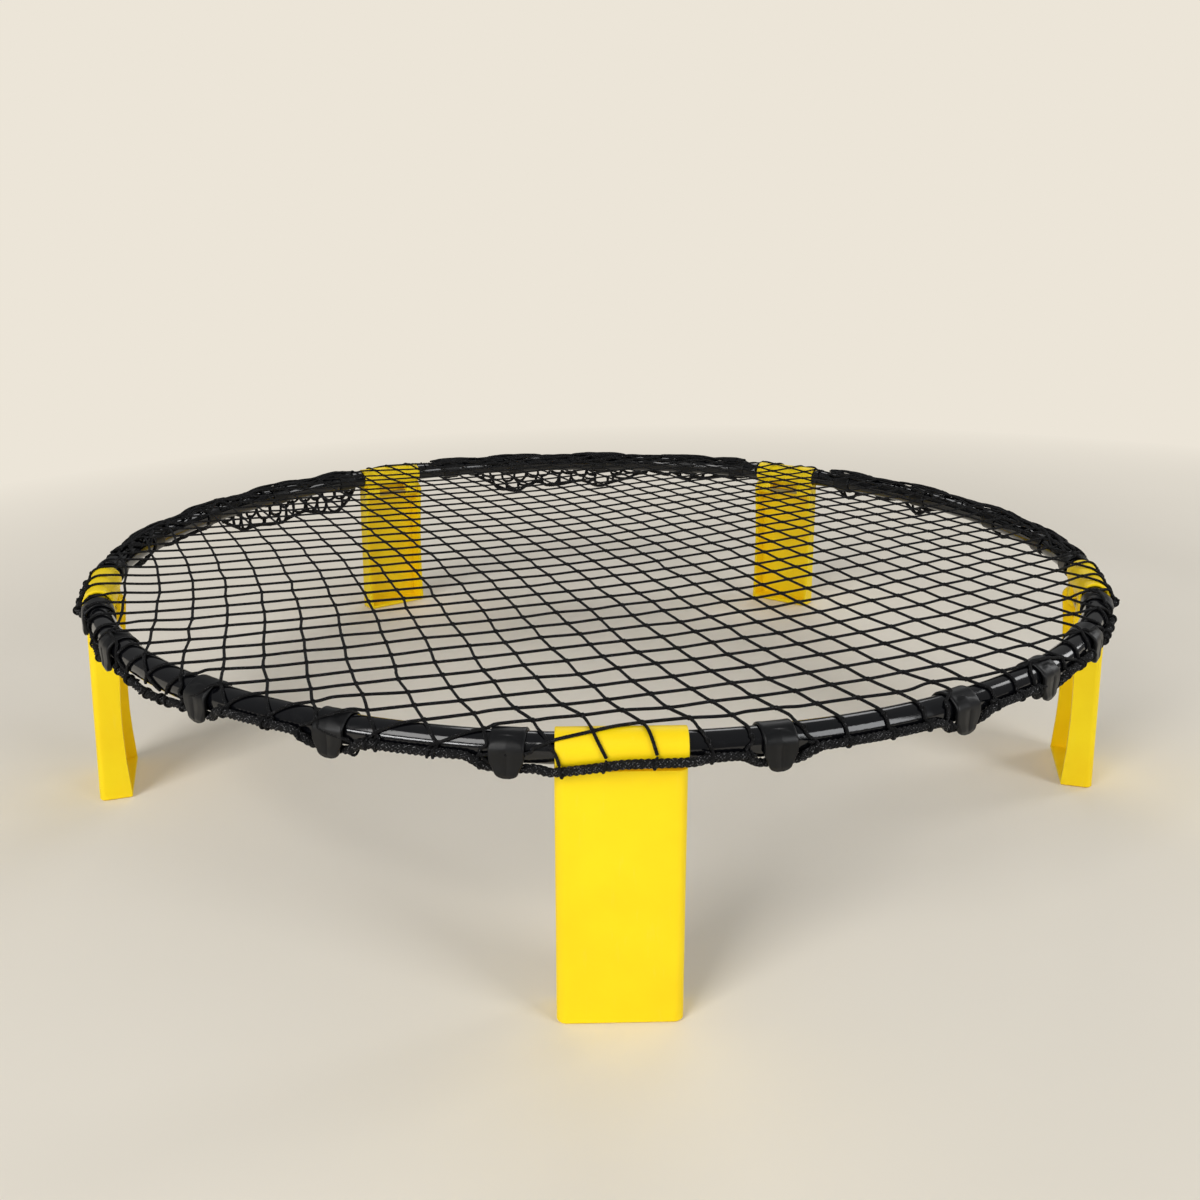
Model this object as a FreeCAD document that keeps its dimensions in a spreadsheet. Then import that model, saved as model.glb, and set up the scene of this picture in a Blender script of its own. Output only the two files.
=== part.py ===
import FreeCAD, Part
import math
import os
import Sketcher
from FreeCAD import Rotation, Vector

# Roundnet set: a round tube rim on five legs that fold in under a square-mesh net.
# Origin: the centre of the rim, on the floor. +Z up, the front leg towards -Y. Sizes in millimetres.

SIZES = {
    "ring_radius": 447.5,          # centre line of the rim tube
    "ring_height": 176.0,          # centre line of the rim tube above the floor
    "tube_diameter": 19.0,
    "tube_wall": 2.4,
    "tube_sides": 12,              # flats round the tube, and round what fits on it
    "leg_count": 5,

    "bend_count": 10,              # straight facets of a tube's bend between two heads
    "bend_gap": 3.5,               # along the rim, from a head's mouth to the tube's first bend

    "socket_clearance": 0.15,      # radial, round a tube in its socket
    "head_inset_share": 0.966,     # of the rim's rise over half a head, that the head lies inside its circle
    "head_wall": 2.6,
    "head_step": 0.5,              # each end of a head short of the blade's side
    "stop_length": 12.0,           # solid web between the two sockets of a head

    "pin_diameter": 5.0,
    "pin_clearance": 0.05,         # radial, in the knuckles and in the blade's ears
    "pin_inset": 0.6,              # each end of the pin below the ear's face
    "knuckle_radius": 5.6,
    "knuckle_length": 16.0,
    "knuckle_side_gap": 0.4,
    "neck_inset": 0.85,            # neck face inside the middle of the head's wall
    "knuckle_gap": 3.4,            # knuckle to the blade's outer plate

    "blade_width": 78.0,
    "blade_wall": 3.4,
    "foot_floor": 4.0,
    "foot_outset": 20.5,           # foot's outer face beyond the rim's centre line
    "foot_depth": 26.0,            # foot from its outer face to its inner edge
    "edge_bow_radius": 700.0,      # long bow of the side walls' inner edge
    "ear_radius": 8.7,
    "stop_gap": 0.3,               # blade's top edge under the head
    "blade_corner": 6.0,
    "foot_edge": 1.2,

    "hook_width": 21.0,            # along the rim
    "hook_clearance": 0.7,         # radial, round the tube's bend
    "hook_wall": 2.4,
    "hook_drop": 15.0,             # tongue's tip below the tube's centre line
    "hook_shoulder": 4.5,          # tongue starts to narrow this far below the centre line
    "hook_tip_width": 12.0,
    "groove_width": 1.2,           # parting groove down the tongue's face
    "groove_depth": 0.6,
    "hook_flats": 8,               # flats of the band, from straight out over the tube and under it

    "cord_diameter": 5.5,
    "cord_sides": 6,
    "cord_tube_gap": 0.6,
    "cord_tongue_gap": 0.3,
    "cord_head_gap": 1.0,          # at the corner of the route by a head's mouth
    "cord_slack": 2.0,             # more than that in the middle of a head
    "cord_free": 23.5,             # along the rim from a head's mouth, where the cord leaves its circle
    "cord_leave": 13.0,            # where it turns out to pass the head
    "cord_past": 1.5,              # where it turns back along the head
    "cord_bend_share": 0.45,       # of the shorter run, that a bend of the cord takes

    "net_gap": 0.3,                # net above the hooks and the heads
    "net_thickness": 1.6,
    "net_pitch": 60.0,             # between strands of one set
    "net_strand": 3.0,
    "net_border": 4.0,             # plain edge at the top of the rim
    "net_least_gap": 0.2,          # share of a whole gap, under which one at the border is closed
    "net_first_heading": 14.0,     # of the two sets of strands, in degrees from +X
    "net_second_heading": 113.0,
    "strap_end": -30.0,            # strap's lower end, in degrees from straight out
    "strap_folds": 3,
    "strap_gap": 0.5,              # strap beside a hook
}

LEG_NAMES = ("front", "right", "back_right", "back_left", "left")
FRONT_HEADING = -90.0

# Hooks of each rim section, as shares of the way from one head to the next, going round
# counter-clockwise seen from above. They were slid along the tube by hand, so they are uneven.
HOOK_STATIONS = {
    "front_right": (0.108, 0.380, 0.566, 0.758, 0.946),
    "back_right": (0.054, 0.212, 0.414, 0.668, 0.908),
    "back": (0.067, 0.216, 0.469, 0.710, 0.899),
    "back_left": (0.054, 0.268, 0.500, 0.732, 0.946),
    "front_left": (0.054, 0.238, 0.503, 0.722, 0.946),
}

document = FreeCAD.newDocument("roundnet_set")
sheet = document.addObject("Spreadsheet::Sheet", "Sizes")
for row, (alias, number) in enumerate(SIZES.items(), start=1):
    sheet.set(f"A{row}", alias)
    sheet.set(f"B{row}", str(number))
    sheet.setAlias(f"B{row}", alias)
document.recompute()


class Term:
    """A length or an angle as the sheet's formula, with the number that it comes to now."""

    def __init__(self, text, number):
        self.text = text
        self.number = number

    def join(self, sign, other, number):
        return Term(f"({self.text} {sign} {other.text})", number)

    def __add__(self, other):
        other = term(other)
        return self.join("+", other, self.number + other.number)

    def __sub__(self, other):
        other = term(other)
        return self.join("-", other, self.number - other.number)

    def __mul__(self, other):
        other = term(other)
        return self.join("*", other, self.number * other.number)

    def __truediv__(self, other):
        other = term(other)
        return self.join("/", other, self.number / other.number)

    def root(self):
        return Term(f"sqrt({self.text})", math.sqrt(self.number))

    def sine(self):
        return Term(f"sin({self.text})", math.sin(math.radians(self.number)))

    def cosine(self):
        return Term(f"cos({self.text})", math.cos(math.radians(self.number)))

    def slope_of(self, run):
        """The angle, in degrees, of a rise over this run."""
        slope = math.degrees(math.atan(self.number / run.number))
        return Term(f"(atan({self.text} / {run.text}) / 1deg)", slope)


def term(thing):
    """A plain number as a term."""
    return thing if isinstance(thing, Term) else Term(f"{thing}", thing)


def size(alias):
    """The sheet's cell of this name."""
    return Term(f"Sizes.{alias}", float(sheet.get(alias)))


# Sizes that follow from the sheet.
tube_radius = size("tube_diameter") / 2
socket_radius = tube_radius + size("socket_clearance")
head_radius = socket_radius + size("head_wall")
hook_bore_radius = tube_radius + size("hook_clearance")
hook_radius = hook_bore_radius + size("hook_wall")
cord_radius = size("cord_diameter") / 2
degrees_per_mm = term(180) / term(math.pi) / size("ring_radius")
leg_pitch = term(360) / size("leg_count")
pin_radius = size("pin_diameter") / 2
pin_hole_radius = pin_radius + size("pin_clearance")
head_middle_radius = head_radius - size("head_wall") / 2
half_head = size("blade_width") / 2 - size("head_step")
head_x = size("ring_radius") - half_head * half_head / 2 / size("ring_radius") * size("head_inset_share")
mouth_angle = half_head.slope_of(head_x)
hinge_x = head_x - head_middle_radius + size("neck_inset") + size("knuckle_radius")
blade_top_z = size("ring_height") - head_radius - size("stop_gap")
hinge_z = blade_top_z - size("ear_radius")
foot_outer_x = size("ring_radius") + size("foot_outset")
foot_inner_x = foot_outer_x - size("foot_depth")
blade_top_x = hinge_x + size("knuckle_radius") + size("knuckle_gap") + size("blade_wall")


def flats(centre, radius, first, last):
    """Corners at this radius about the tube's centre, from one to another, counted from straight out."""
    step = term(360) / size("tube_sides")
    return [(centre[0] + radius * (step * number).cosine(), centre[1] + radius * (step * number).sine())
            for number in range(first, last + 1)]


def line():
    return ("line", None)


def arc_about(centre, clockwise=False):
    return ("clockwise" if clockwise else "counter", centre)


def arc_of(radius, bow):
    """An arc of this radius between two corners, with its bow to the left or right of the way."""
    return (bow, radius)


def new_body(name, angle):
    """A body that is modelled on the +X side of the rim and turned about +Z to its station."""
    body = document.addObject("PartDesign::Body", name)
    body.Label = name
    body.Placement = FreeCAD.Placement(Vector(), Rotation(Vector(0, 0, 1), angle.number))
    body.setExpression("Placement.Rotation.Angle", angle.text)
    return body


def plane(body, role):
    return next(item for item in body.Origin.OriginFeatures if item.Role == role)


def new_sketch(body, name, role="XZ_Plane", offset=None):
    sketch = body.newObject("Sketcher::SketchObject", f"{body.Name}_{name}")
    sketch.AttachmentSupport = [(plane(body, role), "")]
    sketch.MapMode = "FlatFace"
    if offset is not None:
        sketch.setExpression("AttachmentOffset.Base.z", offset.text)
    return sketch


def hold(sketch, kind, geometry, corner, value):
    """Ties one coordinate of a corner, or a radius, to its formula."""
    if kind == "Radius":
        index = sketch.addConstraint(Sketcher.Constraint(kind, geometry, value.number))
    else:
        index = sketch.addConstraint(Sketcher.Constraint(kind, geometry, corner, value.number))
    sketch.setExpression(f"Constraints[{index}]", value.text)


def circle(sketch, centre, radius):
    spot = Vector(centre[0].number, centre[1].number, 0)
    index = sketch.addGeometry(Part.Circle(spot, Vector(0, 0, 1), radius.number), False)
    hold(sketch, "DistanceX", index, 3, centre[0])
    hold(sketch, "DistanceY", index, 3, centre[1])
    hold(sketch, "Radius", index, 0, radius)


def polygon(sketch, centre, radius):
    """A closed outline of as many flats as the tube has."""
    outline(sketch, [(corner, line()) for corner in flats(centre, radius, 1, SIZES["tube_sides"])])


def outline(sketch, steps):
    """A closed outline. Each step is a corner and the edge that leaves it for the next corner."""
    corners = [Vector(corner[0].number, corner[1].number, 0) for corner, _ in steps]
    ends = []
    loose = {}
    for number, (_, (kind, detail)) in enumerate(steps):
        start, end = corners[number], corners[(number + 1) % len(corners)]
        if kind == "line":
            index = sketch.addGeometry(Part.LineSegment(start, end), False)
            ends.append((index, 1, 2))
            continue
        if kind in ("left", "right"):
            side = Vector(0, 0, 1).cross(end - start).normalize()
            reach = math.sqrt(detail.number ** 2 - (end - start).Length ** 2 / 4)
            centre = (start + end) / 2 + side * (reach if kind == "right" else -reach)
            backwards = kind == "left"
        else:
            centre = Vector(detail[0].number, detail[1].number, 0)
            backwards = kind == "clockwise"
        first, last = (end, start) if backwards else (start, end)
        begin = math.atan2(first.y - centre.y, first.x - centre.x)
        finish = math.atan2(last.y - centre.y, last.x - centre.x)
        if finish <= begin:
            finish += 2 * math.pi
        whole = Part.Circle(centre, Vector(0, 0, 1), (start - centre).Length)
        index = sketch.addGeometry(Part.ArcOfCircle(whole, begin, finish), False)
        ends.append((index, 2, 1) if backwards else (index, 1, 2))
        if kind in ("left", "right"):
            hold(sketch, "Radius", index, 0, detail)
        else:
            hold(sketch, "DistanceX", index, 3, detail[0])
            hold(sketch, "DistanceY", index, 3, detail[1])
            spoke = end - centre
            loose[(number + 1) % len(corners)] = "DistanceX" if abs(spoke.x) > abs(spoke.y) else "DistanceY"
    for number, (corner, _) in enumerate(steps):
        index, start, _ = ends[number]
        before, _, end = ends[number - 1]
        sketch.addConstraint(Sketcher.Constraint("Coincident", before, end, index, start))
        if loose.get(number) != "DistanceX":
            hold(sketch, "DistanceX", index, start, corner[0])
        if loose.get(number) != "DistanceY":
            hold(sketch, "DistanceY", index, start, corner[1])
    return sketch


def pad(body, name, sketch, length, both_ways=True):
    feature = body.newObject("PartDesign::Pad", f"{body.Name}_{name}")
    feature.Profile = sketch
    feature.SideType = "Symmetric" if both_ways else "One side"
    feature.setExpression("Length", length.text)
    body.Tip = feature
    return feature


def pocket(body, name, sketch, length=None, both_ways=True):
    """Cuts a sketch away, to this depth or right through."""
    feature = body.newObject("PartDesign::Pocket", f"{body.Name}_{name}")
    feature.Profile = sketch
    feature.SideType = "Symmetric" if both_ways else "One side"
    if length is None:
        feature.Type = "ThroughAll"
    else:
        feature.setExpression("Length", length.text)
    body.Tip = feature
    return feature


def edges_where(shape, test):
    """Names of the edges whose two ends and middle all pass the test."""
    names = []
    for number, edge in enumerate(shape.Edges, start=1):
        middle = edge.valueAt((edge.FirstParameter + edge.LastParameter) / 2)
        spots = [vertex.Point for vertex in edge.Vertexes] + [middle]
        if all(test(spot) for spot in spots):
            names.append(f"Edge{number}")
    return names


def soften(body, kind, name, test, amount):
    """Fillets or chamfers the edges of the body's last feature that pass the test."""
    document.recompute()
    base = body.Tip
    feature = body.newObject(f"PartDesign::{kind}", f"{body.Name}_{name}")
    feature.Base = (base, edges_where(base.Shape, test))
    feature.setExpression("Radius" if kind == "Fillet" else "Size", amount.text)
    body.Tip = feature
    return feature


def spot_on_head(station, along):
    """A point of a head's axis, this far along it from the leg's middle, seen from above."""
    sine, cosine = station.sine(), station.cosine()
    return (head_x * cosine - along * sine, head_x * sine + along * cosine)


def rim_section(name, angle):
    """A bent tube from the stop in one leg head to the stop in the next, straight where it is plugged in."""
    body = new_body(name, angle)
    leg = leg_pitch / 2
    bend_start = half_head + size("bend_gap")
    first_bend = leg - bend_start.slope_of(head_x)
    step = first_bend * 2 / size("bend_count")
    radius = size("ring_radius") * 2 / ((step / 2).cosine() + 1)
    corners = [spot_on_head(leg * -1, size("stop_length") / 2), spot_on_head(leg * -1, bend_start)]
    for number in range(1, SIZES["bend_count"]):
        turn = step * number - first_bend
        corners.append((radius * turn.cosine(), radius * turn.sine()))
    corners += [spot_on_head(leg, bend_start * -1), spot_on_head(leg, size("stop_length") / -2)]

    path = new_sketch(body, "path", "XY_Plane", offset=size("ring_height"))
    for number, (start, end) in enumerate(zip(corners, corners[1:])):
        straight = Part.LineSegment(Vector(start[0].number, start[1].number, 0),
                                    Vector(end[0].number, end[1].number, 0))
        index = path.addGeometry(straight, False)
        if number:
            path.addConstraint(Sketcher.Constraint("Coincident", index - 1, 2, index, 1))
        else:
            hold(path, "DistanceX", index, 1, start[0])
            hold(path, "DistanceY", index, 1, start[1])
        hold(path, "DistanceX", index, 2, end[0])
        hold(path, "DistanceY", index, 2, end[1])

    section = body.newObject("Sketcher::SketchObject", f"{name}_section")
    section.AttachmentSupport = [(path, "Edge1")]
    section.MapMode = "NormalToEdge"
    polygon(section, (term(0), term(0)), tube_radius)
    polygon(section, (term(0), term(0)), tube_radius - size("tube_wall"))
    tube = body.newObject("PartDesign::AdditivePipe", f"{name}_tube")
    tube.Profile = section
    tube.Spine = (path, [])
    tube.Transition = "Right corner"
    body.Tip = tube
    return body


def neck_z(x):
    """Height of the middle of the head's wall, under the tube, at this distance from the axis."""
    across = x - head_x
    return size("ring_height") - (head_middle_radius * head_middle_radius - across * across).root()


def leg_head(name, angle):
    """The sleeve on the rim with a socket each way, and the two hinge knuckles under it."""
    body = new_body(name, angle)
    centre = (head_x, size("ring_height"))
    sleeve = new_sketch(body, "sleeve")
    polygon(sleeve, centre, head_radius)
    polygon(sleeve, centre, socket_radius)
    pad(body, "sleeve_tube", sleeve, half_head * 2)
    web = new_sketch(body, "stop")
    polygon(web, centre, head_middle_radius)
    pad(body, "stop_web", web, size("stop_length"))

    # The knuckles' necks end in the middle of the sleeve's wall, which they follow from flat to flat.
    inner = hinge_x - size("knuckle_radius")
    outer = hinge_x + size("knuckle_radius")
    quarter = SIZES["tube_sides"] // 4
    wall_corners = flats(centre, head_middle_radius, 2 * quarter + 1, 3 * quarter)
    end_face = (size("blade_width") / 2 - size("blade_wall") - size("knuckle_side_gap")
                - size("knuckle_length"))
    knuckle = new_sketch(body, "knuckle", offset=end_face)
    outline(knuckle, [
        ((inner, neck_z(inner)), line()),
        ((inner, hinge_z), arc_about((hinge_x, hinge_z))),
        ((outer, hinge_z), line()),
        ((outer, neck_z(outer)), line()),
        *[(corner, line()) for corner in reversed(wall_corners)],
    ])
    first = pad(body, "knuckle_near", knuckle, size("knuckle_length"), both_ways=False)
    document.recompute()
    second = body.newObject("PartDesign::Mirrored", f"{body.Name}_knuckle_far")
    second.Originals = [first]
    second.MirrorPlane = (plane(body, "XZ_Plane"), [""])
    body.Tip = second

    hole = new_sketch(body, "pin_hole")
    circle(hole, (hinge_x, hinge_z), pin_hole_radius)
    pocket(body, "pin_bore", hole)
    return body


def leg_blade(name, angle):
    """The folding leg: a leaning channel, open to the inside, with an ear each side for the pin."""
    body = new_body(name, angle)
    side = new_sketch(body, "side")
    outline(side, [
        ((foot_outer_x, term(0)), line()),
        ((blade_top_x, blade_top_z), line()),
        ((hinge_x, blade_top_z), arc_about((hinge_x, hinge_z))),
        ((hinge_x - size("ear_radius"), hinge_z), arc_of(size("edge_bow_radius"), "left")),
        ((foot_inner_x, term(0)), line()),
    ])
    pad(body, "block", side, size("blade_width"))

    half_width = size("blade_width").number / 2
    front_x = blade_top_x.number - size("blade_wall").number / 2

    def on_outer_corner(spot):
        return abs(abs(spot.y) - half_width) < 1e-4 and spot.x > front_x

    soften(body, "Fillet", "corners", on_outer_corner, size("blade_corner"))
    soften(body, "Chamfer", "foot_bevel", lambda spot: abs(spot.z) < 1e-4, size("foot_edge"))

    lean = (foot_outer_x - blade_top_x) / blade_top_z
    ceiling = blade_top_z + size("ear_radius")
    plate_foot_x = foot_outer_x - size("blade_wall") - lean * size("foot_floor")
    plate_top_x = foot_outer_x - size("blade_wall") - lean * ceiling
    open_x = hinge_x - size("ear_radius") - size("foot_depth")
    recess = new_sketch(body, "recess")
    outline(recess, [
        ((plate_foot_x, size("foot_floor")), line()),
        ((plate_top_x, ceiling), line()),
        ((open_x, ceiling), line()),
        ((open_x, size("foot_floor")), line()),
    ])
    pocket(body, "channel", recess, size("blade_width") - size("blade_wall") * 2)

    hole = new_sketch(body, "pin_hole")
    circle(hole, (hinge_x, hinge_z), pin_hole_radius)
    pocket(body, "pin_bore", hole)
    return body


def hinge_pin(name, angle):
    """A plain steel pin with its ends just below the faces of the ears."""
    body = new_body(name, angle)
    section = new_sketch(body, "section")
    circle(section, (hinge_x, hinge_z), pin_radius)
    pad(body, "shaft", section, size("blade_width") - size("pin_inset") * 2)
    return body


def net_hook(name, angle):
    """A clip round the tube whose tongue hangs down outside, with the border cord behind it."""
    body = new_body(name, angle)
    centre = (size("ring_radius"), size("ring_height"))
    outer_x = size("ring_radius") + hook_radius
    inner_x = size("ring_radius") + hook_bore_radius
    low_z = size("ring_height") - size("hook_drop")
    section = new_sketch(body, "section")
    bore = flats(centre, hook_bore_radius, 0, SIZES["hook_flats"])
    back = flats(centre, hook_radius, 0, SIZES["hook_flats"])
    corners = bore + back[::-1] + [(outer_x, low_z), (inner_x, low_z)]
    outline(section, [(corner, line()) for corner in corners])
    pad(body, "band", section, size("hook_width"))

    # The tongue narrows from the band to a blunt tip, so both sides of it are cut away.
    half_width = size("hook_width") / 2
    half_tip = size("hook_tip_width") / 2
    tip_slant = half_tip * term(45).sine()
    shoulder_z = size("ring_height") - size("hook_shoulder")
    below_z = low_z - size("hook_wall")
    beside_y = half_width + size("hook_wall")
    waste = new_sketch(body, "waste", "YZ_Plane", offset=size("ring_radius"))
    outline(waste, [
        ((half_width, shoulder_z), line()),
        ((half_tip, low_z + half_tip), line()),
        ((tip_slant, low_z + half_tip - tip_slant), line()),
        ((term(0), low_z), line()),
        ((term(0), below_z), line()),
        ((beside_y, below_z), line()),
        ((beside_y, shoulder_z), line()),
    ])
    first = pocket(body, "taper_near", waste, size("ring_radius"), both_ways=False)
    first.Reversed = True
    document.recompute()
    second = body.newObject("PartDesign::Mirrored", f"{body.Name}_taper_far")
    second.Originals = [first]
    second.MirrorPlane = (plane(body, "XZ_Plane"), [""])
    body.Tip = second

    half_groove = size("groove_width") / 2
    groove = new_sketch(body, "groove", "YZ_Plane", offset=outer_x - size("groove_depth"))
    outline(groove, [
        ((half_groove, size("ring_height")), line()),
        ((term(0) - half_groove, size("ring_height")), line()),
        ((term(0) - half_groove, low_z + half_tip), line()),
        ((half_groove, low_z + half_tip), line()),
    ])
    parting = pocket(body, "parting_groove", groove, size("hook_wall"), both_ways=False)
    parting.Reversed = True
    return body


def cord_route():
    """The border cord's way past one leg, from the middle of one rim section to the middle of the next.

    It follows the hooks' notches, swings out round the leg's head and comes back, all at one height."""
    reach = tube_radius.number + SIZES["cord_tube_gap"] + cord_radius.number
    across = hook_bore_radius.number - SIZES["cord_tongue_gap"] - cord_radius.number
    drop = math.sqrt(reach ** 2 - across ** 2)
    height = SIZES["ring_height"] - drop
    radius = SIZES["ring_radius"] + across
    clear = head_radius.number + SIZES["cord_head_gap"] + cord_radius.number
    past_x = head_x.number + math.sqrt(clear ** 2 - drop ** 2)

    free_y = half_head.number + SIZES["cord_free"]
    free = math.asin(free_y / radius)
    leave = Vector(radius * math.cos(free), -free_y, height)
    along = Vector(math.sin(free), math.cos(free), 0)
    turn_out = leave + along * ((SIZES["cord_free"] - SIZES["cord_leave"]) / along.y)
    turn_back = Vector(past_x, -half_head.number - SIZES["cord_past"], height)
    middle = Vector(past_x + SIZES["cord_slack"], 0, height)
    corners = [leave, turn_out, turn_back, middle]
    corners += [Vector(spot.x, -spot.y, spot.z) for spot in reversed(corners[:-1])]

    half_pitch = leg_pitch.number / 2
    spin = Vector(0, 0, 1)
    edges = [Part.makeCircle(radius, Vector(0, 0, height), spin, -half_pitch, -math.degrees(free))]
    start = corners[0]
    for before, corner, after in zip(corners, corners[1:], corners[2:]):
        arriving, leaving = corner - before, after - corner
        half_turn = arriving.getAngle(leaving) / 2
        trim = SIZES["cord_bend_share"] * min(arriving.Length, leaving.Length)
        first = corner - arriving.normalize() * trim
        last = corner + leaving.normalize() * trim
        bend = trim / math.tan(half_turn)
        inward = (first + last - corner * 2).normalize()
        peak = corner + inward * (bend / math.cos(half_turn) - bend)
        edges += [Part.makeLine(start, first), Part.Arc(first, peak, last).toShape()]
        start = last
        print("cord bend radius:", round(bend, 1))
    edges.append(Part.makeLine(start, corners[-1]))
    edges.append(Part.makeCircle(radius, Vector(0, 0, height), spin, math.degrees(free), half_pitch))
    return Part.Wire(edges)


def border_cord(name):
    """The thick cord at the net's edge: one closed loop, behind every hook's tongue and round every head."""
    route = cord_route()
    start = route.Edges[0].valueAt(route.Edges[0].FirstParameter)
    outward = Vector(start.x, start.y, 0).normalize()
    turn = 2 * math.pi / SIZES["cord_sides"]
    corners = []
    for number in range(SIZES["cord_sides"] + 1):
        spoke = outward * math.cos(turn * (number + 0.5)) + Vector(0, 0, 1) * math.sin(turn * (number + 0.5))
        corners.append(start + spoke * cord_radius.number)
    section = Part.makePolygon(corners)
    sweep = Part.BRepOffsetAPI.MakePipeShell(route)
    sweep.setBiNormalMode(Vector(0, 0, 1))
    sweep.add(section)
    sweep.build()
    sweep.makeSolid()
    sector = sweep.shape()
    sectors = []
    for number in range(SIZES["leg_count"]):
        copy = sector.copy()
        copy.rotate(Vector(), Vector(0, 0, 1), leg_pitch.number * number + FRONT_HEADING)
        sectors.append(copy)
    cord = document.addObject("Part::Feature", name)
    cord.Label = name
    cord.Shape = sectors[0].multiFuse(sectors[1:]).removeSplitter()
    area = SIZES["cord_sides"] / 2 * cord_radius.number ** 2 * math.sin(turn)
    print("cord:", "length", round(route.Length * SIZES["leg_count"]), "volume", round(cord.Shape.Volume),
          "section x length", round(area * route.Length * SIZES["leg_count"]))
    return cord


def net_gaps(radius):
    """Outlines of the gaps between two slanting sets of strands, cut short at the border's circle."""
    pitch, strand = SIZES["net_pitch"], SIZES["net_strand"]
    across = []
    for heading in (SIZES["net_first_heading"], SIZES["net_second_heading"]):
        turn = math.radians(heading)
        across.append(Vector(-math.sin(turn), math.cos(turn), 0))
    first, second = across
    spread = first.x * second.y - first.y * second.x
    count = math.ceil(radius / pitch) + 1
    disc = Part.Face(Part.Wire(Part.makeCircle(radius)))
    whole = (pitch - strand) ** 2 / abs(spread)
    gaps = []
    for row in range(-count, count):
        for column in range(-count, count):
            sides = [(row * pitch + strand / 2, (row + 1) * pitch - strand / 2),
                     (column * pitch + strand / 2, (column + 1) * pitch - strand / 2)]
            corners = []
            for one, two in ((0, 0), (1, 0), (1, 1), (0, 1)):
                near, far = sides[0][one], sides[1][two]
                corners.append(Vector((near * second.y - far * first.y) / spread,
                                      (far * first.x - near * second.x) / spread, 0))
            reach = [corner.Length for corner in corners]
            gap = Part.Face(Part.makePolygon(corners + corners[:1]))
            if max(reach) > radius:
                gap = gap.common(disc)
            if gap.Area > whole * SIZES["net_least_gap"]:
                corners = [vertex.Point for vertex in gap.Faces[0].OuterWire.OrderedVertexes]
                gaps.append(Part.makePolygon(corners + corners[:1]))
    return gaps


def net_strap(angle):
    """A gathered strand that leaves the top of the rim, goes down outside it and ends above the cord."""
    inner = hook_radius.number + SIZES["net_gap"]
    outer = inner + SIZES["net_thickness"]
    fold = math.radians(SIZES["strap_end"] - 90) / SIZES["strap_folds"]

    def side(radius):
        return [Vector(SIZES["ring_radius"] + radius * math.cos(math.pi / 2 + fold * number), 0,
                       SIZES["ring_height"] + radius * math.sin(math.pi / 2 + fold * number))
                for number in range(SIZES["strap_folds"] + 1)]

    under, over = side(inner), side(outer)
    root = Vector(-SIZES["net_border"] / 2, 0, 0)
    corners = [under[0] + root] + under + over[::-1] + [over[0] + root]
    face = Part.Face(Part.makePolygon(corners + corners[:1]))
    face.translate(Vector(0, -SIZES["net_strand"] / 2, 0))
    strap = face.extrude(Vector(0, SIZES["net_strand"], 0))
    strap.rotate(Vector(), Vector(0, 0, 1), angle)
    return strap


def net_panel(name, hook_angles):
    """The playing net: one holed sheet on top of the rim, with a strap down beside each hook."""
    base_z = SIZES["ring_height"] + hook_radius.number + SIZES["net_gap"]
    gaps = net_gaps(SIZES["ring_radius"] - SIZES["net_border"])
    rim = Part.Wire(Part.makeCircle(SIZES["ring_radius"]))
    sheet_face = Part.Face([rim] + gaps)
    sheet_face.validate()
    panel = sheet_face.extrude(Vector(0, 0, SIZES["net_thickness"]))
    panel.translate(Vector(0, 0, base_z))
    aside = (SIZES["hook_width"] / 2 + SIZES["strap_gap"] + SIZES["net_strand"] / 2) * degrees_per_mm.number
    straps = [net_strap(angle + aside) for angle in hook_angles]
    net = document.addObject("Part::Feature", name)
    net.Label = name
    net.Shape = panel.multiFuse(straps)
    print("gaps in the net:", len(gaps), "straps:", len(straps))
    return net


pieces = []
hook_angles = []
for number, name in enumerate(LEG_NAMES):
    station = leg_pitch * number + FRONT_HEADING
    pieces += [leg_head(f"head_{name}", station), leg_blade(f"leg_{name}", station),
               hinge_pin(f"pin_{name}", station)]
for number, (name, stations) in enumerate(HOOK_STATIONS.items()):
    start = leg_pitch * number + FRONT_HEADING
    pieces.append(rim_section(f"rim_{name}", start + leg_pitch / 2))
    hooks = []
    for count, share in enumerate(stations, start=1):
        angle = start + mouth_angle + (leg_pitch - mouth_angle * 2) * share
        hooks.append(net_hook(f"hook_{name}_{count}", angle))
        hook_angles.append(angle.number)
    group = document.addObject("Part::Compound", f"hooks_{name}")
    group.Label = f"hooks_{name}"
    group.Links = hooks
    pieces.append(group)
pieces.append(border_cord("border_cord"))
pieces.append(net_panel("net", hook_angles))
document.recompute()

for item in document.Objects:
    if "Invalid" in item.State or "Error" in item.State:
        raise RuntimeError(f"{item.Name} failed: {item.State}")
for piece in pieces:
    if piece.Shape.isNull() or not piece.Shape.isValid():
        raise RuntimeError(f"{piece.Label} has no valid shape")

os.makedirs("parts", exist_ok=True)
for piece in pieces:
    print(piece.Label, len(piece.Shape.Solids), round(piece.Shape.Volume))
    piece.Shape.exportStep(f"parts/{piece.Label}.step")
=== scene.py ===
import math

import bmesh
import bpy
import numpy as np
from mathutils import Matrix, Vector


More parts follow.
